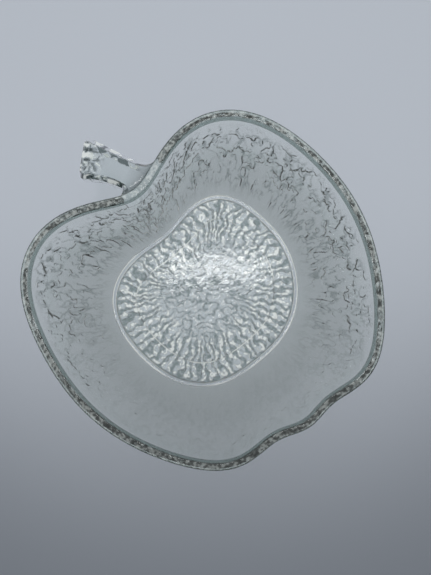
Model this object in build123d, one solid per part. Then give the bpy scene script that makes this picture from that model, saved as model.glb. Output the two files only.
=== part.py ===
from build123d import *

import os
from math import cos, exp, radians, sin

# An apple-shaped serving dish of clear pressed glass. It is one pressing, kept here as the zones that
# its mould draws on it: the floor inside the inner ring line, the ribbed border round the floor, the
# foot it stands on, the side wall, the rounded rim and the stem that serves as its handle.
#
# Frame: +Z up, the foot stands on z = 0, +Y points to the stem's side, and X and Y are centred on the
# whole dish. Angles go round the dish from the stem's notch, positive towards -X. Millimetres, degrees.

# ---- Heights ----
dish_height = 46.0
foot_height = 2.0
floor_thickness = 4.0
floor_recess = 0.6
rim_height = 5.0

# ---- Glass thickness and rounding ----
wall_thickness = 3.6
rim_width = 4.6
rim_overhang = 0.5
rim_rounding = 1.9
foot_width = 2.8
foot_rounding = 0.7
floor_edge = 1.6
border_width = 12.0

# ---- Rim outline: a round body with two shoulders, two cheeks, a stem notch and a calyx ----
rim_body = 90.0
rim_sideways = -0.8
stem_notch = dict(height=-26.5, place=0.0, spread=26.0)
left_shoulder = dict(height=7.9, place=46.0, spread=25.0)
right_shoulder = dict(height=5.9, place=-46.0, spread=25.0)
left_cheek = dict(height=7.1, place=163.0, spread=27.5)
right_cheek = dict(height=9.8, place=-163.0, spread=27.5)
calyx_crease = dict(height=-27.3, place=180.0, spread=18.0)
calyx_bump = dict(height=15.4, place=180.0, spread=11.2)

# ---- Foot outline: the same fruit, softer and smaller ----
foot_body = 55.7
foot_notch = dict(height=-12.7, place=0.0, spread=38.0)
foot_left_shoulder = dict(height=3.0, place=60.0, spread=26.0)
foot_right_shoulder = dict(height=7.0, place=-40.0, spread=26.0)
foot_left_cheek = dict(height=2.4, place=138.0, spread=30.0)
foot_right_cheek = dict(height=-0.5, place=-138.0, spread=30.0)
foot_calyx = dict(height=-2.8, place=180.0, spread=26.0)

# ---- Stem ----
stem_lean = 27.5
stem_place = -5.8
stem_root_inset = 2.9
stem_length = 35.8
stem_thickness = 11.0
stem_drop = 0.6
stem_root_width = 18.5
stem_waist_width = 17.0
stem_tip_width = 22.5
stem_waist_place = 0.5
stem_waist_sideways = 1.0
stem_corner = 2.6
stem_end_slant = 17.5
stem_end_bevel = 3.2
stem_end_rounding = 1.0

# ---- Sampling of the outlines, and how the wall climbs from the foot to the rim ----
outline_points = 60
wall_levels = (0.0, 0.14, 0.28, 0.42, 0.56, 0.7, 0.85, 1.0)
wall_flare = (0.42, 0.10)
wall_lift = (0.80, 0.55)

rim_features = (stem_notch, left_shoulder, right_shoulder, left_cheek, right_cheek, calyx_crease, calyx_bump)
foot_features = (foot_notch, foot_left_shoulder, foot_right_shoulder, foot_left_cheek, foot_right_cheek,
                 foot_calyx)
floor_top = foot_height + floor_thickness
rim_bottom = dish_height - rim_height


def swell(angle, height, place, spread):
    """A smooth hill of this height, centred on a place round the dish."""
    turn = (angle - place + 180) % 360 - 180
    return height * exp(-((turn / spread) ** 2))


def rim_radius(angle):
    """Distance from the dish's middle to the rim's outer edge."""
    hills = sum(swell(angle, **feature) for feature in rim_features)
    return rim_body + rim_sideways * sin(radians(angle)) + hills


def foot_radius(angle):
    """Distance from the dish's middle to the foot's outer edge."""
    return foot_body + sum(swell(angle, **feature) for feature in foot_features)


def around(radius, angle):
    """The point of an outline at an angle from the notch, which faces +Y."""
    return Vector(-radius(angle) * sin(radians(angle)), radius(angle) * cos(radians(angle)))


def inset_point(radius, angle, inset):
    """A point of an outline moved inwards, square to the outline, by the inset."""
    along = around(radius, angle + 0.5) - around(radius, angle - 0.5)
    outwards = Vector(along.Y, -along.X).normalized()
    return around(radius, angle) - outwards * inset


def closed_face(points, height):
    """A flat face inside a smooth closed curve through the points, at a height."""
    lifted = [Vector(point.X, point.Y, height) for point in points]
    return Face(Wire([Edge.make_spline(lifted, periodic=True)]))


def ring_angles():
    return [360 * step / outline_points for step in range(outline_points)]


def outline_face(radius, inset, height):
    return closed_face([inset_point(radius, angle, inset) for angle in ring_angles()], height)


def prism(radius, inset, bottom, top):
    """An upright solid on an outline drawn inwards by the inset."""
    return extrude(outline_face(radius, inset, bottom), amount=top - bottom, dir=(0, 0, 1))


def climb(share):
    """A cubic Bezier from the foot to the rim: how far out and how far up the wall is, each 0 to 1."""
    near, far = 3 * share * (1 - share) ** 2, 3 * share**2 * (1 - share)
    outward = near * wall_flare[0] + far * wall_lift[0] + share**3
    upward = near * wall_flare[1] + far * wall_lift[1] + share**3
    return outward, upward


def bowl(foot_inset, rim_inset, bottom):
    """The solid inside one side of the wall, from a height at the foot up to the rim's underside."""
    sections = []
    for share in wall_levels:
        outward, upward = climb(share)
        points = []
        for angle in ring_angles():
            low = inset_point(foot_radius, angle, foot_inset)
            high = inset_point(rim_radius, angle, rim_inset)
            points.append(low + (high - low) * outward)
        sections.append(closed_face(points, bottom + (rim_bottom - bottom) * upward))
    return loft(sections)


def rounded_top(solid, radius):
    return fillet(solid.edges().group_by(Axis.Z)[-1], radius)


def rounded_bottom(solid, radius):
    return fillet(solid.edges().group_by(Axis.Z)[0], radius)


def make_rim(rim_outside):
    """The rounded band on top of the wall."""
    ring = rim_outside - prism(rim_radius, rim_width, 0.0, 2 * dish_height)
    inner_edge = ring.edges().group_by(Axis.Z)[-1].sort_by(SortBy.LENGTH)[0]
    return fillet(inner_edge, rim_rounding)


def heading(lean):
    """The level direction at an angle from +Y, positive towards -X."""
    return Vector(-sin(radians(lean)), cos(radians(lean)))


def stem_section(distance, width, sideways=0.0, slant=0.0):
    """A rounded upright section of the stem, at a distance from its root. It may stand off the middle
    line, and may be turned by a slant."""
    ahead, facing = heading(stem_lean), heading(stem_lean + slant)
    root = inset_point(rim_radius, stem_place, stem_root_inset)
    middle = root + ahead * distance + heading(stem_lean - 90) * sideways
    level = dish_height - stem_drop - stem_thickness / 2
    plane = Plane(origin=(middle.X, middle.Y, level), x_dir=(facing.Y, -facing.X, 0), z_dir=facing)
    return plane * RectangleRounded(width / cos(radians(slant)), stem_thickness, stem_corner)


def make_stem(dish_outside):
    """The stub between the notch's rim and its slanted club end, with a bevelled and softened tip."""
    stub = loft([
        stem_section(0, stem_root_width),
        stem_section(stem_length * stem_waist_place, stem_waist_width, stem_waist_sideways),
        stem_section(stem_length, stem_tip_width, slant=stem_end_slant),
    ])
    end_on = Axis((0, 0, 0), heading(stem_lean + stem_end_slant))
    stub = chamfer(stub.faces().sort_by(end_on)[-1].edges(), stem_end_bevel / 2)
    stub = fillet(stub.faces().sort_by(end_on)[-1].edges(), stem_end_rounding)
    return stub - dish_outside


# ---- The pressing, cut into its zones ----
outside = bowl(0.0, rim_overhang, foot_height)
inside = bowl(floor_edge, rim_overhang + wall_thickness, floor_top)
shell = outside - inside
floor_outline = foot_width + border_width
border_column = prism(foot_radius, foot_width, 0.0, dish_height)
centre_column = prism(foot_radius, floor_outline, 0.0, dish_height)
rim_outside = rounded_top(prism(rim_radius, 0.0, rim_bottom, dish_height), rim_rounding)
foot_outside = rounded_bottom(prism(foot_radius, 0.0, 0.0, foot_height), foot_rounding)

parts = {
    "floor_panel": prism(foot_radius, floor_outline, foot_height + floor_recess, floor_top),
    "rib_border": prism(foot_radius, foot_width, foot_height, floor_top) - centre_column,
    "foot_ring": foot_outside - border_column,
    "side_wall": shell - border_column,
    "rim_bead": make_rim(rim_outside),
    "stem_handle": make_stem(outside + rim_outside),
}

# ---- Centre the dish over the origin and write one file for each zone ----
whole = Compound(children=[part.solid() for part in parts.values()]).bounding_box()
to_origin = Location((-whole.center().X, -whole.center().Y, 0))
os.makedirs("parts", exist_ok=True)
for name, part in parts.items():
    export_step(to_origin * part.solid(), f"parts/{name}.step")
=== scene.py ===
"""An apple-shaped dish of clear pressed glass, standing on a pale table in soft light.

The dish is one skin of glass, worked out as rings round the fruit's outline. The skin starts at the
middle of the floor, runs up the inside of the wall, over the rim, down the outside, under the foot and
back to the middle of the base. The zones of the pressing are cut from it along its rings, and each is
closed by bond faces where it joins its neighbour, so that light crosses from zone to zone unbent.
"""

import bpy
import numpy as np
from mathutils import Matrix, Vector


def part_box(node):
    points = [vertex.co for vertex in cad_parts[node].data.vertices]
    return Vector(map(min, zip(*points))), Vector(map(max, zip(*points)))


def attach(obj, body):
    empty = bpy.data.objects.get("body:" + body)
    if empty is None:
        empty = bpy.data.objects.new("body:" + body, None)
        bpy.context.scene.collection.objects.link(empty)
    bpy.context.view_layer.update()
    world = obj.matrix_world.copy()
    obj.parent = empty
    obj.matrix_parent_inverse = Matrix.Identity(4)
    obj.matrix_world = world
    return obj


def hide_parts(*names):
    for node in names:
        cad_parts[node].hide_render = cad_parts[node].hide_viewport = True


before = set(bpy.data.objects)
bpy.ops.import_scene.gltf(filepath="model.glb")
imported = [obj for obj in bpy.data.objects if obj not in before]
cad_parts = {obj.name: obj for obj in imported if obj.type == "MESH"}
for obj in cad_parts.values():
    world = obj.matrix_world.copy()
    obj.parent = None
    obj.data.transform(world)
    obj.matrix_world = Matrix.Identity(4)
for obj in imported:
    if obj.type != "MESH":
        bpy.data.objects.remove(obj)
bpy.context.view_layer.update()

# ---- Heights and zone edges, read from the frame (metres) ----
MM = 0.001
FOOT_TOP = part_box("foot_ring")[1].z
FLOOR_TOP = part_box("floor_panel")[1].z
FLOOR_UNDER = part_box("floor_panel")[0].z
RIM_BOTTOM, RIM_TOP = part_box("rim_bead")[0].z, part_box("rim_bead")[1].z
STEM_BOTTOM, STEM_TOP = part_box("stem_handle")[0].z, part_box("stem_handle")[1].z

# ---- Glass thickness and rounding ----
WALL = 3.6 * MM
RIM_WIDTH = 4.6 * MM
RIM_OVERHANG = 0.5 * MM
RIM_ROUNDING = 1.3 * MM
RIM_STEP = 0.5 * MM
RIM_STEP_ROUNDING = 0.4 * MM
FOOT_WIDTH = 2.8 * MM
FOOT_ROUNDING = 0.7 * MM
FLOOR_EDGE = 1.6 * MM
BORDER_WIDTH = 12.0 * MM

# ---- Outlines: a round body plus smooth hills, each (height in mm, place and spread in degrees) ----
RIM_BODY = 90.0 * MM
RIM_SIDEWAYS = -0.8 * MM
RIM_HILLS = {
    "stem notch": (-26.5, 0.0, 26.0),
    "left shoulder": (7.9, 46.0, 25.0),
    "right shoulder": (5.9, -46.0, 25.0),
    "left cheek": (7.1, 163.0, 27.5),
    "right cheek": (9.8, -163.0, 27.5),
    "calyx crease": (-27.3, 180.0, 18.0),
    "calyx bump": (15.4, 180.0, 11.2),
}
FOOT_BODY = 55.7 * MM
FOOT_HILLS = {
    "stem notch": (-12.7, 0.0, 38.0),
    "left shoulder": (3.0, 60.0, 26.0),
    "right shoulder": (7.0, -40.0, 26.0),
    "left cheek": (2.4, 138.0, 30.0),
    "right cheek": (-0.5, -138.0, 30.0),
    "calyx": (-2.8, 180.0, 26.0),
}
WALL_FLARE = (0.42, 0.10)
WALL_LIFT = (0.80, 0.55)

# ---- Stem ----
STEM_LEAN = np.radians(27.5)
STEM_HEADING = np.array([-np.sin(STEM_LEAN), np.cos(STEM_LEAN), 0])
STEM_SIDEWAYS = np.array([-np.cos(STEM_LEAN), -np.sin(STEM_LEAN), 0])
STEM_PLACE = -5.8
STEM_ROOT_INSET = 2.9 * MM
STEM_LENGTH = 37.2 * MM
STEM_WIDTHS = (18.5 * MM, 17.0 * MM, 22.5 * MM)
STEM_WAIST_SIDEWAYS = 1.0 * MM
STEM_TIP_SIDEWAYS = 2.2 * MM
STEM_END_SLANT = np.radians(17.5)
STEM_CHAMFER = 2.6 * MM
STEM_CLEAR = 12.0 * MM
STEM_BEVEL = 3.6 * MM
STEM_END_SCALE = 0.8
STEM_UNEVENNESS = 0.35 * MM

# ---- Ribs of the base: how far each runs inwards is (usual, more or less) in mm ----
RIB_COUNT = 56
RIB_DEPTH = 0.7 * MM
RIB_LENGTH = (26, 9)

# ---- Bark of the wall: large plates and small ones. The plain band under the rim ends unevenly ----
UNROLLED_RADIUS = 75.0 * MM
UNROLLED_HEIGHT = 0.7
PLATE_SIZES = (6.6 * MM, 4.2 * MM)
PLATE_EDGES = (0.10, 0.12)
PLATE_HEIGHTS = (0.80 * MM, 0.50 * MM)
PLAIN_BAND = (3.5 * MM, 9 * MM)
PLAIN_BAND_WAVE = 3 * MM
SHALLOWEST_BARK = 0.22
# Painted shade: how dark the plates' edges are painted, and how pale the wall is painted at the foot, where
# it is painted darker downwards.
PLATE_EDGE_PAINTED_SHADE = 0.8
LOW_WALL_PAINTED_SHADE_PALENESS = 0.60

# ---- Painted shade along the rim's edges, and paleness and painted glints mottled between them ----
RIM_PAINTED_PALENESS = (0.72, 0.28)
RIM_PAINTED_GLINT = 0.42

# ---- Seeds of the noises that shape and mottle the skin ----
SEED = {
    "large plates": 11, "small plates": 41, "plain band": 61, "swell": 71,
    "rib bend": 91, "rib waver": 92, "rib length": 93, "rib grain": 96,
    "rib speckle": 97, "rib streak": 98, "tangle": 101, "tangle bend": 105,
    "stipple": 111, "coarse stipple": 112, "mottle": 113, "coarse mottle": 114,
    "crinkle": 121, "fine crinkle": 122, "recess glint": 131, "foot glint": 141,
    "stem": 131, "stem shine": 151, "fine stem shine": 152,
}

# ---- Which way the dish is seen ----
VIEW_TURN = np.radians(53.5)
FAR_SIDE = Vector((np.cos(VIEW_TURN), np.sin(VIEW_TURN), 0))
RIGHT_SIDE = Vector((np.sin(VIEW_TURN), -np.cos(VIEW_TURN), 0))

# ---- How finely the skin is divided ----
SIDE = 108
COLUMNS = 8 * SIDE
STEM_COLUMNS = (-round(15.8 / 360 * COLUMNS), round(6.4 / 360 * COLUMNS))
STEM_SPAN = (33.0 * MM, 44.9 * MM)
WALL_SPLIT_INSIDE, WALL_SPLIT_OUTSIDE = 12, 86
PATH_STEP = 0.3 * MM
FILLET_RINGS, STUB_RINGS, BEVEL_RINGS = 22, 44, 12


# ---------------------------------------------------------------- outlines and sections


def outline(angle, body, sideways, hills):
    """Points of an outline at angles counted from the stem towards -X: the distance from the middle is
    the body, plus a share of the sine for its sideways shift, plus a bell curve for each hill."""
    away = body + sideways * np.sin(np.radians(angle))
    for height, place, spread in hills.values():
        turn = (angle - place + 180) % 360 - 180
        away = away + height * MM * np.exp(-((turn / spread) ** 2))
    return np.stack([-away * np.sin(np.radians(angle)), away * np.cos(np.radians(angle))], -1)


def inset_outline(angle, inset, *shape):
    """The same outline, moved inwards by the inset, square to its own direction."""
    along = outline(angle + 0.5, *shape) - outline(angle - 0.5, *shape)
    outwards = np.stack([along[..., 1], -along[..., 0]], -1)
    outwards /= np.linalg.norm(outwards, axis=-1, keepdims=True)
    return outline(angle, *shape) - outwards * inset[..., None]


RIM = (RIM_BODY, RIM_SIDEWAYS, RIM_HILLS)
FOOT = (FOOT_BODY, 0.0, FOOT_HILLS)
round_once = np.arange(0, 360, 0.5)
rim_edge = outline(round_once, *RIM)
SHIFT = np.array(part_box("rim_bead")[0])[:2] - rim_edge.min(0)
STEM_ROOT = inset_outline(np.array(STEM_PLACE), np.array(STEM_ROOT_INSET), *RIM) + SHIFT


def climb(share):
    """How far out and how far up the wall is along a cubic Bezier from foot to rim, each 0 to 1."""
    near, far = 3 * share * (1 - share) ** 2, 3 * share**2 * (1 - share)
    outward = near * WALL_FLARE[0] + far * WALL_LIFT[0] + share**3
    upward = near * WALL_FLARE[1] + far * WALL_LIFT[1] + share**3
    return outward, upward


def flat_run(count, inset_from, inset_to, height):
    """Rings at one height, with the inset from the foot's outline changing evenly."""
    inset = np.linspace(inset_from, inset_to, count)
    return np.stack([inset, inset * 0, inset * 0, inset * 0 + height], -1)


def wall_run(count, foot_inset, rim_inset, bottom, upwards):
    """Rings up or down one side of the wall, evenly spaced along its Bezier curve."""
    share = np.linspace(0, 1, count) if upwards else np.linspace(1, 0, count)
    outward, upward = climb(share)
    height = bottom + (RIM_BOTTOM - bottom) * upward
    return np.stack([share * 0 + foot_inset, share * 0 + rim_inset, outward, height], -1)


def rounded_run(corners, radii, step):
    """A path of (inset, height) points through corners, each rounded by an arc of its radius, with
    points about a step apart."""
    corners = np.array(corners)
    path = [corners[:1]]
    for here, radius in zip(range(1, len(corners) - 1), radii, strict=True):
        before, after = corners[here - 1] - corners[here], corners[here + 1] - corners[here]
        before, after = before / np.linalg.norm(before), after / np.linalg.norm(after)
        half = np.arccos(np.clip(before @ after, -1, 1)) / 2
        reach = radius / np.tan(half)
        sweep = np.pi - 2 * half
        turn = np.linspace(0, 1, max(3, int(np.ceil(radius * sweep / step)) + 1))[:, None]
        middle_way = (before + after) / np.linalg.norm(before + after)
        centre = corners[here] + middle_way * radius / np.sin(half)
        start, end = corners[here] + before * reach - centre, corners[here] + after * reach - centre
        arc = (np.sin((1 - turn) * sweep) * start + np.sin(turn * sweep) * end) / np.sin(sweep)
        path.append(centre + arc)
    path.append(corners[-1:])
    filled = [path[0]]
    for stretch in path[1:]:
        gap = np.linalg.norm(stretch[0] - filled[-1][-1])
        fill = np.linspace(0, 1, max(1, int(np.round(gap / step))) + 1)[1:-1, None]
        filled += [filled[-1][-1] + (stretch[0] - filled[-1][-1]) * fill, stretch]
    return np.concatenate(filled)


def rim_run():
    """Rings over the rim, from the inside of the wall to its outside: a rounded band a little wider than
    the wall."""
    step_in = RIM_BOTTOM + RIM_STEP
    corners = [
        (RIM_OVERHANG + WALL, RIM_BOTTOM), (RIM_WIDTH, step_in), (RIM_WIDTH, RIM_TOP),
        (0.0, RIM_TOP), (0.0, step_in), (RIM_OVERHANG, RIM_BOTTOM),
    ]
    radii = [RIM_STEP_ROUNDING, RIM_ROUNDING, RIM_ROUNDING, RIM_STEP_ROUNDING]
    path = rounded_run(corners, radii, PATH_STEP)
    return np.stack([path[:, 0] * 0, path[:, 0], path[:, 0] * 0 + 1, path[:, 1]], -1)


def foot_run():
    """Rings down the foot's outside, under it and up its inside."""
    corners = [(0.0, FOOT_TOP), (0.0, 0.0), (FOOT_WIDTH, 0.0), (FOOT_WIDTH, FOOT_TOP)]
    path = rounded_run(corners, [FOOT_ROUNDING, FOOT_ROUNDING], PATH_STEP)
    return np.stack([path[:, 0], path[:, 0] * 0, path[:, 0] * 0, path[:, 1]], -1)


FLOOR_OUTLINE = FOOT_WIDTH + BORDER_WIDTH
SECTION = {
    "border_top": flat_run(30, FLOOR_OUTLINE, FOOT_WIDTH, FLOOR_TOP),
    "wall_inside": np.concatenate([
        flat_run(2, FOOT_WIDTH, FLOOR_EDGE, FLOOR_TOP),
        wall_run(22, FLOOR_EDGE, RIM_OVERHANG + WALL, FLOOR_TOP, True)[1:],
    ]),
    "rim": rim_run(),
    "wall_outside": wall_run(172, 0.0, RIM_OVERHANG, FOOT_TOP, False),
    "foot": foot_run(),
    "border_under": np.concatenate([
        flat_run(34, FOOT_WIDTH, FLOOR_OUTLINE, FOOT_TOP),
        flat_run(1, FLOOR_OUTLINE, FLOOR_OUTLINE, FLOOR_UNDER),
    ]),
}


def skin_rows():
    """All the section's rings in order, each shared by the two stretches that it joins, and the first
    and last ring of every stretch."""
    rows, span, start = [], {}, 0
    for name, run in SECTION.items():
        rows.append(run if not rows else run[1:])
        start = sum(map(len, rows[:-1])) - (1 if len(rows) > 1 else 0)
        span[name] = (start, start + len(run) - 1)
    return np.concatenate(rows), span


ROWS, SPAN = skin_rows()


def ring_points():
    """The plain skin: for every ring, the point between the foot's and the rim's inset outlines."""
    angle = np.arange(COLUMNS) * 360 / COLUMNS
    foot_inset, rim_inset, outward, height = [column[:, None] for column in ROWS.T]
    angle, every = angle[None], np.ones((len(ROWS), COLUMNS))
    low = inset_outline(angle * every, foot_inset * every, *FOOT)
    high = inset_outline(angle * every, rim_inset * every, *RIM)
    flat = low + (high - low) * outward[..., None] + SHIFT
    return np.concatenate([flat, (height * every)[..., None]], -1)


def square_disc():
    """A square grid laid over a disc: a point's distance is its larger coordinate, and its angle runs
    evenly along the square's sides, so the outermost squares meet the skin's columns."""
    line = np.arange(-SIDE, SIDE + 1)
    a, b = [grid.astype(float) for grid in np.meshgrid(line, line, indexing="ij")]
    away = np.maximum(np.abs(a), np.abs(b))
    with np.errstate(divide="ignore", invalid="ignore"):
        level = np.where(np.abs(a) >= np.abs(b), 45 * b / a, 90 - 45 * a / b)
    turned = np.where(np.where(np.abs(a) >= np.abs(b), a, b) < 0, 180.0, 0.0)
    return away / SIDE, np.nan_to_num(level) + turned


# ---------------------------------------------------------------- relief pressed into the glass


def glass_noise(places, cell, seed):
    """Gradient noise from about -1 to 1: every corner of a lattice of cells has a random slope, and a
    point blends what its eight corners' slopes give there, by a smooth step along each direction."""
    slopes = np.random.default_rng(seed).normal(size=(4096, 3))
    slopes /= np.linalg.norm(slopes, axis=1, keepdims=True)
    at = places / cell + 500.0
    base = np.floor(at).astype(np.int64)
    inside = at - base
    ease = inside**3 * (inside * (inside * 6 - 15) + 10)
    total = np.zeros(places.shape[:-1])
    for corner in np.ndindex(2, 2, 2):
        key = (base + corner) @ np.array([73856093, 19349663, 83492791])
        slope = slopes[(key ^ (key >> 13)) % 4096]
        weight = np.prod(np.where(corner, ease, 1 - ease), axis=-1)
        total += weight * np.sum(slope * (inside - corner), axis=-1)
    return total * 1.6


def smooth_step(low, high, value):
    """A smooth rise from 0 at low to 1 at high: three times the share's square less twice its cube."""
    share = np.clip((value - low) / (high - low), 0, 1)
    return share * share * (3 - 2 * share)


def wandering(places, reach, cell, seed):
    """The places, each moved about by slow noise, so that lines drawn through them wander."""
    shifts = [glass_noise(places, cell, seed + axis) for axis in range(3)]
    return places + reach * np.stack(shifts, -1)


def unrolled(places):
    """Places on the wall brought to one distance from the middle, with their heights squeezed, so that
    marks drawn there run up the wall."""
    flat = places[..., :2] - SHIFT
    flat = flat * (UNROLLED_RADIUS / np.linalg.norm(flat, axis=-1, keepdims=True))
    return np.concatenate([flat, places[..., 2:] * UNROLLED_HEIGHT], -1)


def facing(places):
    """How squarely a place lies towards the far side of the dish, from 1 there to -1 on the near side."""
    flat = places[..., :2] - SHIFT
    return flat @ np.array(FAR_SIDE[:2]) / np.maximum(np.linalg.norm(flat, axis=-1), 1e-6)


def plates(places, cell, width, seed):
    """Raised plates and the thin wandering lines at their edges, each 0 to 1: a plate stands where a bent
    noise is above zero, its edge follows the zeros, and a second noise makes both come and go."""
    level = glass_noise(wandering(places, 0.6 * cell, 0.55 * cell, seed + 10), cell, seed)
    kept = smooth_step(-0.40, -0.05, glass_noise(places, 1.3 * cell, seed + 20))
    return smooth_step(-width, width, level) * kept, np.exp(-((level / width) ** 2)) * kept


def bark(places):
    """The bark of the wall: how far its plates stand out, and how strongly their edges are painted with
    shade, 0 to 1. There are two sizes of plate, plain glass stays under the rim, and the bark grows
    shallow at the foot and towards the near side."""
    height = places[..., 2]
    even = unrolled(places)
    band_end = height + PLAIN_BAND_WAVE * glass_noise(even, 12 * MM, SEED["plain band"])
    share = smooth_step(RIM_BOTTOM - PLAIN_BAND[0], RIM_BOTTOM - PLAIN_BAND[1], band_end)
    share = share * smooth_step(FOOT_TOP - 1 * MM, FOOT_TOP + 6 * MM, height)
    far = smooth_step(-0.85, 0.1, facing(places))
    share = share * (SHALLOWEST_BARK + (1 - SHALLOWEST_BARK) * far)
    large, large_edge = plates(even, PLATE_SIZES[0], PLATE_EDGES[0], SEED["large plates"])
    small, small_edge = plates(even, PLATE_SIZES[1], PLATE_EDGES[1], SEED["small plates"])
    plate = PLATE_HEIGHTS[0] * large + PLATE_HEIGHTS[1] * small
    return plate * share, np.maximum(large_edge, small_edge) * share


def circle(angle):
    """Points on a circle of radius one, so that a noise read there closes on itself."""
    return np.stack([np.cos(np.radians(angle)), np.sin(np.radians(angle)), angle * 0], -1)


def ribs(places, angle, from_edge):
    """The base: wavy fingers that run inwards from the foot for an uneven length and give way to a tangle
    of short ridges in the middle. Returns their height, how pale the glass is painted there, with painted
    shade in the valleys and painted light on the crests, and how strongly painted glints sit there."""
    flat = places * np.array([1, 1, 0])
    bend = 4.2 * glass_noise(flat, 7 * MM, SEED["rib bend"])
    bent = angle + bend + 2.0 * glass_noise(flat, 3 * MM, SEED["rib waver"])
    wave = smooth_step(-1.0, 0.3, np.cos(np.radians(bent) * RIB_COUNT))
    length = (RIB_LENGTH[0] + RIB_LENGTH[1] * glass_noise(circle(angle), 0.12, SEED["rib length"])) * MM
    ribbed = smooth_step(length + 5 * MM, length - 5 * MM, from_edge) * smooth_step(0, 1.5 * MM, from_edge)
    bent_flat = wandering(flat, 2 * MM, 4 * MM, SEED["tangle bend"])
    rightwards = np.array(RIGHT_SIDE)
    stretched = bent_flat - 0.5 * (bent_flat @ rightwards)[..., None] * rightwards
    tangle = smooth_step(0.0, 0.22, np.abs(glass_noise(stretched, 4.2 * MM, SEED["tangle"])))
    inner = smooth_step(length - 6 * MM, length + 6 * MM, from_edge)
    crest = wave * ribbed + tangle * inner
    speckle = glass_noise(flat, 1.5 * MM, SEED["rib speckle"])
    streak = glass_noise(bent_flat, 2.6 * MM, SEED["rib streak"])
    # Painted light and shade: dark valleys and pale crests, mottled by noise, stand in for the light that
    # the ribs bend onto the table; painted glints sit on the crests.
    pale = np.clip(0.06 + 0.85 * crest + 0.40 * speckle + 0.25 * streak, 0, 1)
    painted_glint = crest * smooth_step(-0.15, 0.30, streak + 0.5 * speckle) * (0.30 + 0.70 * ribbed)
    return RIB_DEPTH * (crest + 0.10 * glass_noise(flat, 2.2 * MM, SEED["rib grain"])), pale, painted_glint


def broken_glint_line(angle, seed):
    """A painted highlight line that breaks off here and there: 1 where it shows, 0 where it is gone."""
    return smooth_step(-0.25, 0.15, glass_noise(circle(angle), 0.45, seed))


def crinkle(places):
    """The uneven upper side of the base, where the plunger chilled the glass."""
    flat = places * np.array([1, 1, 0])
    broad = 0.035 * glass_noise(flat, 3.4 * MM, SEED["crinkle"])
    return (broad + 0.014 * glass_noise(flat, 1.5 * MM, SEED["fine crinkle"])) * MM


def stipple(places):
    """The fine pebbling along the top of the rim."""
    fine = 0.05 * glass_noise(places, 1.5 * MM, SEED["stipple"])
    return (fine + 0.04 * glass_noise(places, 3.0 * MM, SEED["coarse stipple"])) * MM


def ring_normals(points):
    """Outward directions of the plain skin, from the differences between its rings and its columns."""
    outward = np.gradient(points, axis=0)
    around = np.roll(points, -1, axis=1) - np.roll(points, 1, axis=1)
    normal = np.cross(outward, around)
    return normal / np.maximum(np.linalg.norm(normal, axis=-1, keepdims=True), 1e-12)


def rim_painted_light(places, inset):
    """How the rim is painted: painted shade along both of its edges, and between them pale glass mottled
    with painted shade and painted glints.
    """
    outer = smooth_step(0.2 * MM, 1.1 * MM, inset)
    band = outer * smooth_step(RIM_WIDTH - 0.2 * MM, RIM_WIDTH - 1.0 * MM, inset)
    above = smooth_step(RIM_BOTTOM, RIM_BOTTOM + 1.0 * MM, places[..., 2])
    fine = glass_noise(places, 1.3 * MM, SEED["mottle"])
    mottle = fine + 0.5 * glass_noise(places, 3.0 * MM, SEED["coarse mottle"])
    # Painted shade along both edges of the rim; mottled paleness and painted glints between them.
    pale = 1 - above * (1 - band * np.clip(RIM_PAINTED_PALENESS[0] + RIM_PAINTED_PALENESS[1] * mottle, 0, 1))
    painted_glint = RIM_PAINTED_GLINT * above * band * smooth_step(-0.4, 0.6, mottle)
    return pale, painted_glint


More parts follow.
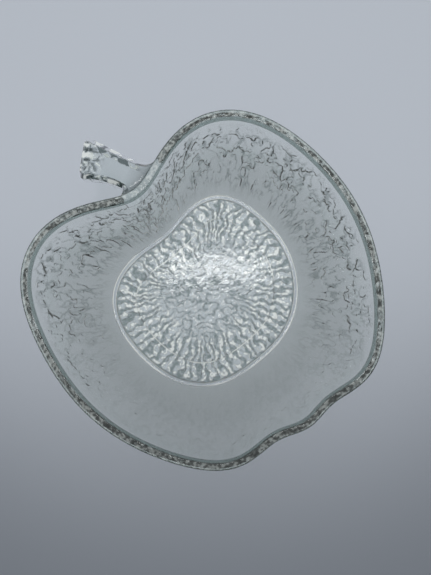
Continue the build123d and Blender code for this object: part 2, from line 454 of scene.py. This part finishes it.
def relieved(points):
    """The skin with its relief: bark outside the wall, ribs under the border, crinkles on it and stipple
    on the rim. Also how pale each point is painted, where less pale is painted shade, and how strongly it
    carries painted glints."""
    depth, painted_glint = np.zeros(points.shape[:2]), np.zeros(points.shape[:2])
    pale = np.ones(points.shape[:2])
    moved = points.copy()
    every_angle = np.arange(COLUMNS) * 360 / COLUMNS
    wall = slice(SPAN["wall_outside"][0], SPAN["wall_outside"][1] + 1)
    plate, edge = bark(points[wall])
    level = points[wall][..., 2]
    swell = 0.10 * glass_noise(points[wall], 5.0 * MM, SEED["swell"])
    depth[wall] = swell * smooth_step(RIM_BOTTOM, RIM_BOTTOM - 6 * MM, level) * MM - plate
    climbing = smooth_step(FOOT_TOP, RIM_BOTTOM, level)
    # Painted shade: darker towards the foot and along the plates' edges.
    pale[wall] = (LOW_WALL_PAINTED_SHADE_PALENESS + (1 - LOW_WALL_PAINTED_SHADE_PALENESS) * climbing) * (1 - PLATE_EDGE_PAINTED_SHADE * edge)
    first, last = SPAN["rim"]
    rim = slice(first, last + 1)
    fade = np.sin(np.linspace(0, np.pi, last - first + 1))[:, None] ** 0.5
    depth[rim] += stipple(points[rim]) * fade
    pale[rim], painted_glint[rim] = rim_painted_light(points[rim], ROWS[rim, 1][:, None])
    moved += ring_normals(points) * depth[..., None]
    first, last = SPAN["border_under"]
    under = slice(first, last + 1)
    angle = np.broadcast_to(every_angle, (last - first + 1, COLUMNS))
    from_edge = np.broadcast_to((ROWS[under, 0] - FOOT_WIDTH)[:, None], angle.shape)
    rib, pale[under], painted_glint[under] = ribs(points[under], angle, from_edge)
    moved[under, :, 2] += rib
    # A painted highlight along the step of the recess: pale glass with painted glints, broken here and
    # there.
    line = broken_glint_line(every_angle, SEED["recess glint"])
    pale[last - 2:last + 1] = np.maximum(pale[last - 2:last + 1], line)
    painted_glint[last - 2:last + 1] = np.maximum(painted_glint[last - 2:last + 1], line)
    foot = slice(SPAN["foot"][0], SPAN["foot"][1] + 1)
    height, inset = ROWS[foot, 3][:, None], ROWS[foot, 0][:, None]
    rounding = (height < FOOT_ROUNDING) & (np.abs(inset - FOOT_WIDTH / 2) > FOOT_WIDTH / 2 - FOOT_ROUNDING)
    # Painted glints along the foot's two rounded lower corners, broken here and there, and a faint painted
    # glint over the rest of the foot.
    painted_glint[foot] = 0.04 + 0.96 * rounding * broken_glint_line(every_angle, SEED["foot glint"])
    first, last = SPAN["border_top"]
    top = slice(first, last + 1)
    fade = smooth_step(0.0, 3 * MM, ROWS[top, 0] - FOOT_WIDTH)[:, None]
    moved[top, :, 2] += crinkle(points[top]) * fade
    return moved, np.stack([pale, painted_glint], -1)


# ---------------------------------------------------------------- the whole skin


def ring_faces(first, last):
    """Quads between the rings first to last, facing out of the glass."""
    row, column = np.meshgrid(np.arange(first, last), np.arange(COLUMNS), indexing="ij")
    beside = (column + 1) % COLUMNS
    corners = [row * COLUMNS + column, (row + 1) * COLUMNS + column,
               (row + 1) * COLUMNS + beside, row * COLUMNS + beside]
    return np.stack(corners, -1)


def strip(upper, lower):
    """One band of quads from ring to ring, straight through the glass."""
    column = np.arange(COLUMNS)
    beside = (column + 1) % COLUMNS
    return np.stack([upper * COLUMNS + column, lower * COLUMNS + column,
                     lower * COLUMNS + beside, upper * COLUMNS + beside], -1)


def disc(edge_ring, height, under, offset):
    """The round middle inside a ring: new points on the square grid, its quads facing up, and how pale
    each point is painted and how strongly it carries painted glints."""
    away, angle = square_disc()
    edge = (angle / 360 * COLUMNS).round().astype(int) % COLUMNS
    rim = inset_outline(angle, np.full(angle.shape, FLOOR_OUTLINE), *FOOT)
    places = np.concatenate([rim * away[..., None] + SHIFT, np.full(angle.shape + (1,), height)], -1)
    look = np.stack([np.ones(away.shape), np.zeros(away.shape)], -1)
    if under:
        rib, pale, painted_glint = ribs(places, angle, BORDER_WIDTH + (1 - away) * np.linalg.norm(rim, axis=-1))
        places[..., 2] += rib
        look = np.stack([pale, painted_glint], -1)
    else:
        places[..., 2] += crinkle(places)
    number = np.full(away.shape, -1)
    inner = away < 1 - 1e-9
    number[inner] = offset + np.arange(inner.sum())
    number[~inner] = edge_ring * COLUMNS + edge[~inner]
    quads = np.stack([number[:-1, :-1], number[1:, :-1], number[1:, 1:], number[:-1, 1:]], -1)
    return places[inner], quads.reshape(-1, 4), look[inner]


def stem_block(points):
    """The first and last ring of the patch of skin that the stem grows from."""
    column = points[:, 0, 2]
    outer = np.arange(SPAN["rim"][0] + (SPAN["rim"][1] - SPAN["rim"][0]) // 2, SPAN["wall_outside"][1])
    first = outer[column[outer] <= STEM_SPAN[1]][0]
    last = outer[column[outer] <= STEM_SPAN[0]][0]
    return first, last


def stem_section(distance, across, up, scale=1.0):
    """Points on the stem: a chamfered rectangle across its heading. Its width follows a quadratic curve
    through the root's, the waist's and the tip's widths. Its middle swings to one side at the waist and
    to the other at the tip, and it turns by the slant towards the tip."""
    share = np.clip(distance / STEM_LENGTH, 0, 1)
    root, waist, tip = STEM_WIDTHS
    width = root + (4 * waist - 3 * root - tip) * share + 2 * (root + tip - 2 * waist) * share**2
    thick = STEM_TOP - STEM_BOTTOM
    corner = np.maximum(np.abs(across) * width + np.abs(up) * thick, 1e-9)
    reach = np.minimum((width + thick - 2 * STEM_CHAMFER) / corner, 1.0) * scale
    middle = np.array([*STEM_ROOT, (STEM_TOP + STEM_BOTTOM) / 2])
    aside = across * reach * width / 2
    ahead = distance - aside * np.tan(STEM_END_SLANT) * share**2
    swing = 4 * STEM_WAIST_SIDEWAYS * share * (1 - share) - STEM_TIP_SIDEWAYS * share**2
    level = middle + STEM_HEADING * ahead[..., None] + STEM_SIDEWAYS * (aside - swing)[..., None]
    return level + np.array([0, 0, 1]) * (up * reach * thick / 2)[..., None]


def rings_outward(rings):
    """For every point of a tube of rings, the direction away from its ring's middle, growing from nothing
    to one along the tube."""
    away = rings - rings.mean(axis=1, keepdims=True)
    away /= np.linalg.norm(away, axis=-1, keepdims=True)
    return away * np.linspace(0, 1, len(rings))[:, None, None]


def along_stem(places):
    """How far each place lies along the stem's heading, from the stem's root."""
    return (places - np.array([*STEM_ROOT, 0])) @ STEM_HEADING


def stem_rings(root, across, up):
    """Rings that leave the skin along quadratic Beziers, run along the stub and turn over its bevelled
    end by a quarter of a circle. A slow noise makes them uneven, more so towards the tip."""
    corner = stem_section(along_stem(root), across, up)
    straight = stem_section(np.full(len(root), STEM_CLEAR), across, up)
    turn = np.linspace(0, 1, FILLET_RINGS)[1:, None, None]
    fillet = root * (1 - turn) ** 2 + corner * 2 * turn * (1 - turn) + straight * turn**2
    along = np.linspace(STEM_CLEAR, STEM_LENGTH - STEM_BEVEL, STUB_RINGS)[1:]
    stub = np.stack([stem_section(np.full(len(root), distance), across, up) for distance in along])
    bevel = np.stack([
        stem_section(np.full(len(root), STEM_LENGTH + STEM_BEVEL * (np.sin(quarter) - 1)), across, up,
                     STEM_END_SCALE + (1 - STEM_END_SCALE) * np.cos(quarter))
        for quarter in np.linspace(0, np.pi / 2, BEVEL_RINGS)[1:]
    ])
    rings = np.concatenate([fillet, stub, bevel])
    uneven = STEM_UNEVENNESS * glass_noise(rings, 3.4 * MM, SEED["stem"])[..., None]
    return rings + uneven * rings_outward(rings)


def stem_painted_light(rings, across, root_look):
    """How the stem is painted: patches of painted shade and painted glints on its two sides and round its
    end, and the rim's painted shade and glints where it leaves the skin."""
    along = along_stem(rings)
    # Painted shade and painted glints in patches on the stem's sides and round its end.
    painted_sparkle = smooth_step(0.80, 0.98, np.abs(across))[None] * smooth_step(8 * MM, 13 * MM, along)
    painted_sparkle = np.maximum(painted_sparkle, 0.9 * smooth_step(STEM_LENGTH - 7 * MM, STEM_LENGTH - 3 * MM, along))
    broad = glass_noise(rings, 3.8 * MM, SEED["stem shine"])
    shine = broad + 0.5 * glass_noise(rings, 1.8 * MM, SEED["fine stem shine"])
    pale, painted_glint = 1 - painted_sparkle * smooth_step(-0.05, 0.20, shine), painted_sparkle * smooth_step(-0.10, -0.35, shine)
    look = np.stack([pale, painted_glint], -1)
    root_share = np.zeros((len(rings), 1, 1))
    root_share[:FILLET_RINGS - 1] = 1 - np.linspace(0, 1, FILLET_RINGS)[1:, None, None]
    return look + (root_look - look) * root_share


def patch_edge(rows, columns):
    """Row and column of every grid place round a patch's edge, in turn from its first corner."""
    edge = [(0, column) for column in range(columns)]
    edge += [(row, columns - 1) for row in range(1, rows)]
    edge += [(rows - 1, column) for column in range(columns - 2, -1, -1)]
    edge += [(row, 0) for row in range(rows - 2, 0, -1)]
    return tuple(np.array(edge).T)


def stem(points, looks, offset):
    """The stem: rings from the edge of its patch of skin to its end, which a small grid closes. Returns
    its new points, its quads, and how pale each new point is painted and how strongly it carries painted
    glints."""
    first, last = stem_block(points)
    rows, columns = np.arange(first, last + 1), np.arange(STEM_COLUMNS[0], STEM_COLUMNS[1] + 1)
    up, across = np.meshgrid(np.linspace(1, -1, len(rows)), np.linspace(-1, 1, len(columns)), indexing="ij")
    edge = patch_edge(len(rows), len(columns))
    root_number = (rows[:, None] * COLUMNS + columns[None] % COLUMNS)[edge]
    rings = stem_rings(points.reshape(-1, 3)[root_number], across[edge], up[edge])
    ring_look = stem_painted_light(rings, across[edge], looks.reshape(-1, 2)[root_number])
    grid = stem_section(np.full(up.shape, STEM_LENGTH), across, up, STEM_END_SCALE)[1:-1, 1:-1]
    grid_look = np.broadcast_to(np.array([1.0, 0.0]), (grid[..., 0].size, 2))
    ring_numbers = offset + np.arange(rings[..., 0].size).reshape(rings.shape[:2])
    numbers = np.concatenate([root_number[None], ring_numbers])
    beside = np.roll(numbers, -1, axis=1)
    sides = np.stack([numbers[:-1], beside[:-1], beside[1:], numbers[1:]], -1).reshape(-1, 4)
    cap = np.full(up.shape, -1)
    cap[edge] = numbers[-1]
    cap[1:-1, 1:-1] = offset + rings[..., 0].size + np.arange(grid[..., 0].size).reshape(grid.shape[:2])
    lid = np.stack([cap[:-1, :-1], cap[1:, :-1], cap[1:, 1:], cap[:-1, 1:]], -1).reshape(-1, 4)
    new_points = np.concatenate([rings.reshape(-1, 3), grid.reshape(-1, 3)])
    return new_points, np.concatenate([sides, lid]), np.concatenate([ring_look.reshape(-1, 2), grid_look])


def joined(groups):
    """Each zone's lists of quads as one array."""
    return {name: np.concatenate([part.reshape(-1, 4) for part in parts]) for name, parts in groups.items()}


def dish_skin():
    """Every point of the dish with how pale it is painted and how strongly it carries painted glints and,
    for each zone, its skin quads and the bond quads that close it."""
    points, look = relieved(ring_points())
    edge_top, edge_under = SPAN["border_top"][0], SPAN["border_under"][1]
    count = points.shape[0] * COLUMNS
    top, top_quads, top_look = disc(edge_top, FLOOR_TOP, False, count)
    under, under_quads, under_look = disc(edge_under, FLOOR_UNDER, True, count + len(top))
    stub, stub_quads, stub_look = stem(points, look, count + len(top) + len(under))
    first, last = stem_block(points)

    def without_block(name):
        """A stretch's quads, split into those of the skin and those that the stem covers."""
        start, end = SPAN[name]
        quads = ring_faces(start, end)
        rows = np.arange(start, end)[:, None]
        column = (np.arange(COLUMNS) + COLUMNS // 2) % COLUMNS - COLUMNS // 2
        beside_stem = (column >= STEM_COLUMNS[0]) & (column < STEM_COLUMNS[1])
        hidden = (rows >= first) & (rows < last) & beside_stem
        return quads[~hidden], quads[hidden]

    rim_quads, rim_hidden = without_block("rim")
    wall_quads, wall_hidden = without_block("wall_outside")
    wall_inside, wall_outside = SPAN["wall_inside"], SPAN["wall_outside"]
    half_in, half_out = wall_inside[0] + WALL_SPLIT_INSIDE, wall_outside[0] + WALL_SPLIT_OUTSIDE
    is_upper = wall_quads[:, 0] < half_out * COLUMNS
    skins = {
        "floor": [top_quads, under_quads[:, ::-1]],
        "border": [ring_faces(*SPAN["border_top"]), ring_faces(*SPAN["border_under"])],
        "lower_wall": [ring_faces(wall_inside[0], half_in), wall_quads[~is_upper]],
        "upper_wall": [ring_faces(half_in, wall_inside[1]), wall_quads[is_upper]],
        "rim": [rim_quads],
        "foot": [ring_faces(*SPAN["foot"])],
        "stem": [stub_quads],
    }
    floor_bond = strip(edge_top, edge_under)
    border_bond = strip(wall_inside[0], SPAN["border_under"][0])
    rim_bond = strip(SPAN["rim"][0], SPAN["wall_outside"][0])
    foot_bond = strip(SPAN["border_under"][0], SPAN["foot"][0])
    wall_bond = strip(half_in, half_out)
    bonds = {
        "floor": [floor_bond],
        "border": [floor_bond[:, ::-1], border_bond],
        "lower_wall": [border_bond[:, ::-1], wall_bond, foot_bond[:, ::-1]],
        "upper_wall": [wall_bond[:, ::-1], rim_bond, wall_hidden],
        "rim": [rim_bond[:, ::-1], rim_hidden],
        "foot": [foot_bond],
        "stem": [rim_hidden[:, ::-1], wall_hidden[:, ::-1]],
    }
    everything = np.concatenate([points.reshape(-1, 3), top, under, stub])
    looks = np.concatenate([look.reshape(-1, 2), top_look, under_look, stub_look])
    return everything, looks, joined(skins), joined(bonds)


def skin_normals(points, quads):
    """Smooth normals: at each point, the mean of its faces' normals, weighted by their area."""
    normal = np.cross(points[quads[:, 2]] - points[quads[:, 0]], points[quads[:, 3]] - points[quads[:, 1]])
    total = np.zeros_like(points)
    for corner in range(4):
        for axis in range(3):
            total[:, axis] += np.bincount(quads[:, corner], normal[:, axis], len(points))
    return total / np.maximum(np.linalg.norm(total, axis=1, keepdims=True), 1e-15)


def zone(name, points, normals, looks, skin, bond, glass, joint):
    """One zone of the pressing as a closed mesh: its skin keeps the whole dish's smooth normals, and its
    bond faces are flat."""
    quads = np.concatenate([skin, bond])
    used, local = np.unique(quads, return_inverse=True)
    mesh = bpy.data.meshes.new(name)
    mesh.vertices.add(len(used))
    mesh.vertices.foreach_set("co", points[used].astype(np.float32).ravel())
    mesh.loops.add(quads.size)
    mesh.loops.foreach_set("vertex_index", local.ravel().astype(np.int32))
    mesh.polygons.add(len(quads))
    mesh.polygons.foreach_set("loop_start", np.arange(len(quads), dtype=np.int32) * 4)
    mesh.materials.append(glass)
    mesh.materials.append(joint)
    kinds = np.repeat([0, 1], [len(skin), len(bond)])
    mesh.polygons.foreach_set("material_index", kinds.astype(np.int32))
    mesh.update(calc_edges=True)
    mesh.validate()
    mesh.polygons.foreach_set("use_smooth", np.ones(len(quads), bool))
    corner = normals[quads]
    flat = np.cross(points[bond[:, 2]] - points[bond[:, 0]], points[bond[:, 3]] - points[bond[:, 1]])
    flat /= np.maximum(np.linalg.norm(flat, axis=1, keepdims=True), 1e-15)
    corner[len(skin):] = flat[:, None]
    mesh.normals_split_custom_set(corner.reshape(-1, 3).tolist())
    # Two attributes of painted light on every point: how pale, where less pale is painted shade, and
    # painted glints.
    for column, kind in enumerate(("pale", "painted_glint")):
        look = mesh.attributes.new(kind, "FLOAT", "POINT")
        look.data.foreach_set("value", looks[used, column].astype(np.float32))
    piece = bpy.data.objects.new(name, mesh)
    bpy.context.collection.objects.link(piece)
    return piece


# ---------------------------------------------------------------- materials

# How clear the glass stays under a full painted glint: not at all, so it scatters white.
PAINTED_GLINT_CLEARNESS = 0.0
GLASS_IOR = 1.51


def new_material(name):
    """An empty node material: the material, its nodes, its links and its output node."""
    material = bpy.data.materials.new(name)
    material.use_nodes = True
    nodes = material.node_tree.nodes
    nodes.clear()
    return material, nodes, material.node_tree.links, nodes.new("ShaderNodeOutputMaterial")


def pressed_glass(name, tint, painted_shade_tint, shade_tint, roughness, clearness, grain_size, grain_depth):
    """Soda-lime glass with a faint green tint. Its fire polish has a fine orange-peel grain. Where it is
    less pale it takes the dark tint as painted shade, in cracks, valleys and along edges, and where it
    carries painted glints it scatters light instead of letting it through, as a painted highlight. Lamps
    shine through it with the shade tint."""
    material, nodes, links, output = new_material(name)
    glass = nodes.new("ShaderNodeBsdfPrincipled")
    glass.inputs["Roughness"].default_value = roughness
    glass.inputs["IOR"].default_value = GLASS_IOR
    # Painted shade: where the pale attribute is low, the dark tint is mixed in.
    pale = nodes.new("ShaderNodeAttribute")
    pale.attribute_name = "pale"
    colour = nodes.new("ShaderNodeMix")
    colour.data_type = "RGBA"
    colour.inputs["A"].default_value = (*painted_shade_tint, 1)
    colour.inputs["B"].default_value = (*tint, 1)
    links.new(pale.outputs["Fac"], colour.inputs["Factor"])
    links.new(colour.outputs["Result"], glass.inputs["Base Color"])
    # Painted glints: where the glint mark is full, the glass scatters white instead of letting light
    # through.
    painted_glint = nodes.new("ShaderNodeAttribute")
    painted_glint.attribute_name = "painted_glint"
    clear = nodes.new("ShaderNodeMapRange")
    clear.inputs["To Min"].default_value = clearness
    clear.inputs["To Max"].default_value = PAINTED_GLINT_CLEARNESS
    links.new(painted_glint.outputs["Fac"], clear.inputs["Value"])
    links.new(clear.outputs["Result"], glass.inputs["Transmission Weight"])
    place = nodes.new("ShaderNodeTexCoord")
    grain = nodes.new("ShaderNodeTexNoise")
    grain.inputs["Scale"].default_value = 1 / grain_size
    grain.inputs["Detail"].default_value = 3.0
    bump = nodes.new("ShaderNodeBump")
    bump.inputs["Distance"].default_value = grain_depth
    links.new(place.outputs["Object"], grain.inputs["Vector"])
    links.new(grain.outputs["Fac"], bump.inputs["Height"])
    links.new(bump.outputs["Normal"], glass.inputs["Normal"])
    path = nodes.new("ShaderNodeLightPath")
    through = nodes.new("ShaderNodeBsdfTransparent")
    through.inputs["Color"].default_value = (*shade_tint, 1)
    either = nodes.new("ShaderNodeMixShader")
    links.new(path.outputs["Is Shadow Ray"], either.inputs["Fac"])
    links.new(glass.outputs["BSDF"], either.inputs[1])
    links.new(through.outputs["BSDF"], either.inputs[2])
    links.new(either.outputs["Shader"], output.inputs["Surface"])
    return material


def glass_bond():
    """Where two zones of the pressing join there is no surface, so light goes straight on."""
    material, nodes, links, output = new_material("glass_bond")
    clear = nodes.new("ShaderNodeBsdfTransparent")
    links.new(clear.outputs["BSDF"], output.inputs["Surface"])
    return material


def table_top():
    """A matt pale blue-grey surface."""
    material, nodes, links, output = new_material("table_top")
    paint = nodes.new("ShaderNodeBsdfPrincipled")
    paint.inputs["Base Color"].default_value = (0.60, 0.64, 0.70, 1)
    paint.inputs["Roughness"].default_value = 0.75
    links.new(paint.outputs["BSDF"], output.inputs["Surface"])
    return material


# ---------------------------------------------------------------- the dish

# Each glass has its tint, its dark tint for painted shade and its shade tint for lamps shining through,
# then its roughness, clearness and grain.
BASE_TINTS = (0.98, 1.0, 0.99), (0.13, 0.19, 0.18), (0.97, 0.98, 0.975)
BARK_GLASS = pressed_glass("bark_glass", (0.97, 0.985, 0.965), (0.12, 0.16, 0.14), (0.97, 0.975, 0.97),
                           0.02, 0.98, 1.8 * MM, 0.04 * MM)
GLASS = {
    "floor": pressed_glass("ribbed_glass", *BASE_TINTS, 0.05, 0.93, 1.5 * MM, 0.02 * MM),
    "border": pressed_glass("border_glass", *BASE_TINTS, 0.05, 0.93, 1.5 * MM, 0.02 * MM),
    "lower_wall": BARK_GLASS,
    "upper_wall": BARK_GLASS,
    "rim": pressed_glass("rim_glass", (0.90, 0.95, 0.92), (0.20, 0.27, 0.24), (0.90, 0.93, 0.91),
                         0.03, 0.93, 1.2 * MM, 0.05 * MM),
    "foot": pressed_glass("foot_glass", *BASE_TINTS, 0.05, 0.90, 1.2 * MM, 0.02 * MM),
    "stem": pressed_glass("stem_glass", (0.90, 0.94, 0.92), (0.06, 0.08, 0.075), (0.95, 0.96, 0.955),
                          0.01, 1.0, 3.0 * MM, 0.03 * MM),
}
NODE = {
    "floor": "floor_panel",
    "border": "rib_border",
    "lower_wall": "side_wall",
    "upper_wall": "side_wall",
    "rim": "rim_bead",
    "foot": "foot_ring",
    "stem": "stem_handle",
}

bond = glass_bond()
skin_points, looks, skins, bonds = dish_skin()
normals = skin_normals(skin_points, np.concatenate(list(skins.values())))
for zone_name, node in NODE.items():
    piece = zone(f"{zone_name}_glass", skin_points, normals, looks, skins[zone_name], bonds[zone_name],
                 GLASS[zone_name], bond)
    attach(piece, "root")
    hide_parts(node)

# ---------------------------------------------------------------- table, light and camera

TABLE_HALF = 3.0
TABLE_CORNERS = ((-1, -1), (1, -1), (1, 1), (-1, 1))
table_mesh = bpy.data.meshes.new("table")
table_mesh.from_pydata([(x * TABLE_HALF, y * TABLE_HALF, 0) for x, y in TABLE_CORNERS], [], [(0, 1, 2, 3)])
table_mesh.materials.append(table_top())
table = bpy.data.objects.new("table", table_mesh)
bpy.context.collection.objects.link(table)


def tube_lamp(name, place, turn, size, power, colour):
    """A long soft studio light that shines straight down."""
    lamp = bpy.data.lights.new(name, "AREA")
    lamp.shape, lamp.size, lamp.size_y = "RECTANGLE", *size
    lamp.energy, lamp.color = power, colour
    holder = bpy.data.objects.new(name, lamp)
    holder.location = place
    holder.rotation_euler = (0, 0, turn)
    bpy.context.collection.objects.link(holder)


def round_lamp(name, place, aim, radius, power, cone, blend, colour):
    """A round studio lamp whose beam fades out softly towards the edge of its cone. It isn't seen in
    reflections or through the glass."""
    lamp = bpy.data.lights.new(name, "SPOT")
    lamp.shadow_soft_size, lamp.energy, lamp.color = radius, power, colour
    lamp.spot_size, lamp.spot_blend = cone, blend
    holder = bpy.data.objects.new(name, lamp)
    holder.visible_glossy = holder.visible_transmission = False
    holder.location = place
    holder.rotation_euler = (aim - place).to_track_quat("-Z", "Y").to_euler()
    bpy.context.collection.objects.link(holder)


LAMP_HEIGHT = Vector((0, 0, 1.25))
WHITE = (1.0, 1.0, 1.0)
ceiling_aim = FAR_SIDE * 0.20
tube_place = FAR_SIDE * 0.12 + RIGHT_SIDE * 0.01 + LAMP_HEIGHT
round_lamp("ceiling", ceiling_aim + LAMP_HEIGHT, ceiling_aim, 0.08, 31.0, np.radians(33.2), 0.63, WHITE)
tube_lamp("tube", tube_place, VIEW_TURN - np.pi / 2, (0.28, 0.07), 0.45, WHITE)


def room_light():
    """Light from all round, bright overhead and on the far side and dark near the floor."""
    room = bpy.data.worlds.new("room")
    room.use_nodes = True
    nodes, links = room.node_tree.nodes, room.node_tree.links
    sky = nodes["Background"]
    sky.inputs["Color"].default_value = (0.86, 0.90, 0.95, 1)
    way = nodes.new("ShaderNodeTexCoord")
    towards = nodes.new("ShaderNodeVectorMath")
    towards.operation = "DOT_PRODUCT"
    towards.inputs[1].default_value = FAR_SIDE * 0.35 + Vector((0, 0, 0.9))
    level = nodes.new("ShaderNodeMapRange")
    for name, value in {"From Min": 0.0, "From Max": 0.95, "To Min": 0.04, "To Max": 0.40}.items():
        level.inputs[name].default_value = value
    links.new(way.outputs["Generated"], towards.inputs[0])
    links.new(towards.outputs["Value"], level.inputs["Value"])
    links.new(level.outputs["Result"], sky.inputs["Strength"])
    bpy.context.scene.world = room


room_light()

FOCAL, SENSOR = 31.3, 36.0
VIEW_HEIGHT = np.radians(87.0)
VIEW_DISTANCE = 0.2586
VIEW_OFFSET = (5.2 * MM, -0.25 * MM)
target = Vector((*SHIFT, RIM_TOP)) + RIGHT_SIDE * VIEW_OFFSET[0] + FAR_SIDE * VIEW_OFFSET[1]
back = -FAR_SIDE * np.cos(VIEW_HEIGHT) + Vector((0, 0, np.sin(VIEW_HEIGHT)))
camera = bpy.data.cameras.new("camera")
camera.lens, camera.sensor_width = FOCAL, SENSOR
camera.clip_start, camera.clip_end = 0.01, 50
viewer = bpy.data.objects.new("camera", camera)
viewer.location = target + back * VIEW_DISTANCE
viewer.rotation_euler = (-back).to_track_quat("-Z", "Y").to_euler()
bpy.context.collection.objects.link(viewer)
bpy.context.scene.camera = viewer
bpy.context.scene.view_settings.view_transform = "Standard"
